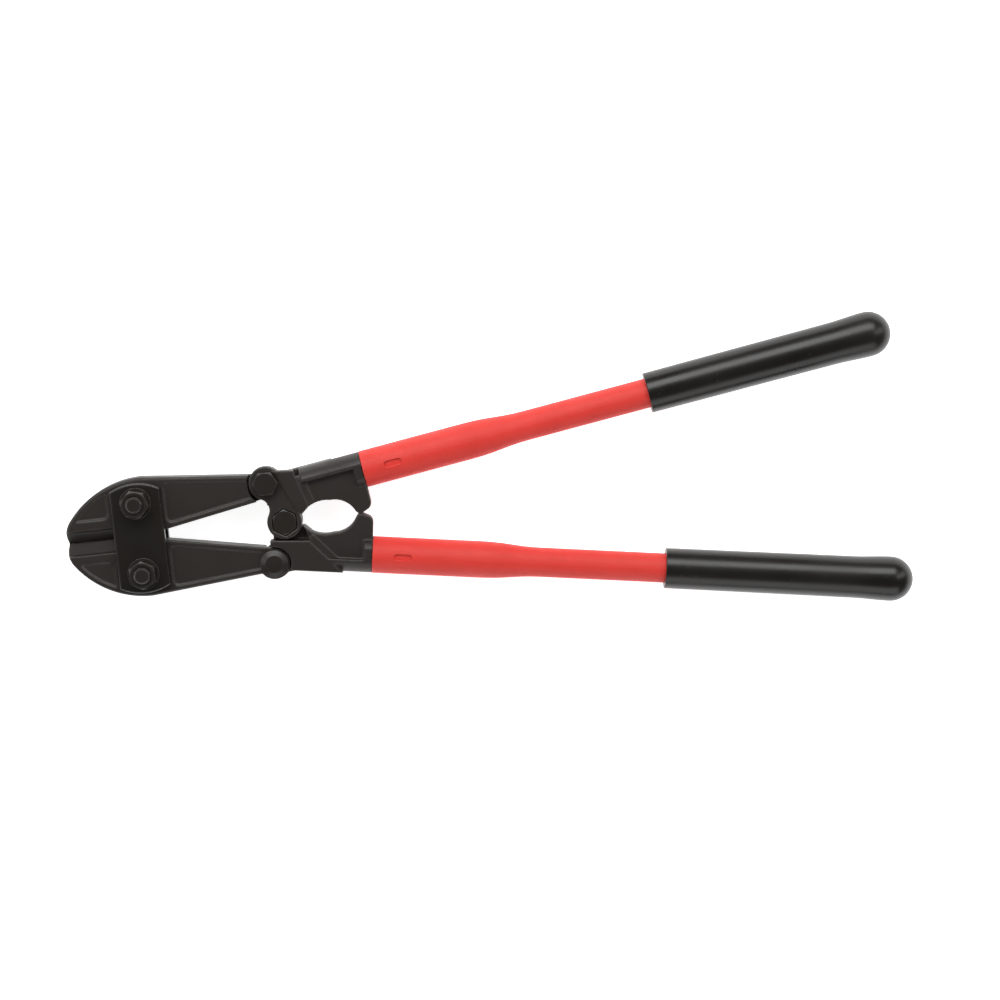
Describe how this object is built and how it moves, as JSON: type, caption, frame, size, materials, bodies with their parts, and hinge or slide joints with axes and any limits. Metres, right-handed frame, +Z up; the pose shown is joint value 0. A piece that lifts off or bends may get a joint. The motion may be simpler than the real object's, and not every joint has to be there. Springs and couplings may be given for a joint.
{
  "type": "bolt cutters",
  "caption": "Hand bolt cutters with two forged jaws, strap plates, compound handle links and long tube handles with dipped grips.",
  "frame": {"origin": "middle of the bottom of the box, as the closed tool lies on its rear jaw bolt heads", "axes": "+X along the tool from the jaws to the grips, +Y to the upper handle, +Z up, across the pivots"},
  "size_m": [0.4815, 0.168, 0.0449],
  "materials": {
    "forged_black": "satin",
    "hardware_black": "satin",
    "red_powder_coat": "satin",
    "black_vinyl": "gloss"
  },
  "bodies": {
    "lower_handle": {"lower_handle_head": "forged_black", "lower_handle_tube": "red_powder_coat", "lower_grip": "black_vinyl", "lower_link_bolt": "hardware_black", "lower_link_cap": "hardware_black"},
    "upper_handle": {"upper_handle_head": "forged_black", "upper_handle_tube": "red_powder_coat", "upper_grip": "black_vinyl", "upper_link_bolt": "hardware_black", "upper_link_cap": "hardware_black", "centre_bolt": "hardware_black", "centre_washer": "hardware_black", "centre_nut": "hardware_black"},
    "lower_jaw": {"lower_jaw": "forged_black"},
    "straps": {"front_strap": "forged_black", "rear_strap": "forged_black", "upper_jaw_bolt": "hardware_black", "upper_jaw_bush": "hardware_black", "upper_jaw_washer": "hardware_black", "upper_jaw_nut": "hardware_black", "lower_jaw_bolt": "hardware_black", "lower_jaw_bush": "hardware_black", "lower_jaw_washer": "hardware_black", "lower_jaw_nut": "hardware_black"},
    "upper_jaw": {"upper_jaw": "forged_black"}
  },
  "joints": [
    {"name": "handles_open", "type": "hinge", "parent": "lower_handle", "child": "upper_handle", "pos_m": [-0.116, 0, 0.01925], "axis": [0, 0, 1], "range_deg": [0, 80]},
    {"name": "lower_link", "type": "hinge", "parent": "lower_handle", "child": "lower_jaw", "pos_m": [-0.1244, -0.0232, 0.01925], "axis": [0, 0, 1], "range_deg": [0, 48]},
    {"name": "lower_jaw_pivot", "type": "hinge", "parent": "lower_jaw", "child": "straps", "pos_m": [-0.1985, -0.0202, 0.01925], "axis": [0, 0, 1], "range_deg": [-8, 0]},
    {"name": "upper_jaw_pivot", "type": "hinge", "parent": "straps", "child": "upper_jaw", "pos_m": [-0.1985, 0.0202, 0.01925], "axis": [0, 0, 1], "range_deg": [-8, 0]}
  ],
  "couplings": [
    {"joint": "lower_link", "follows": "handles_open", "ratio": 0.597},
    {"joint": "lower_jaw_pivot", "follows": "handles_open", "ratio": -0.097},
    {"joint": "upper_jaw_pivot", "follows": "handles_open", "ratio": -0.097}
  ]
}
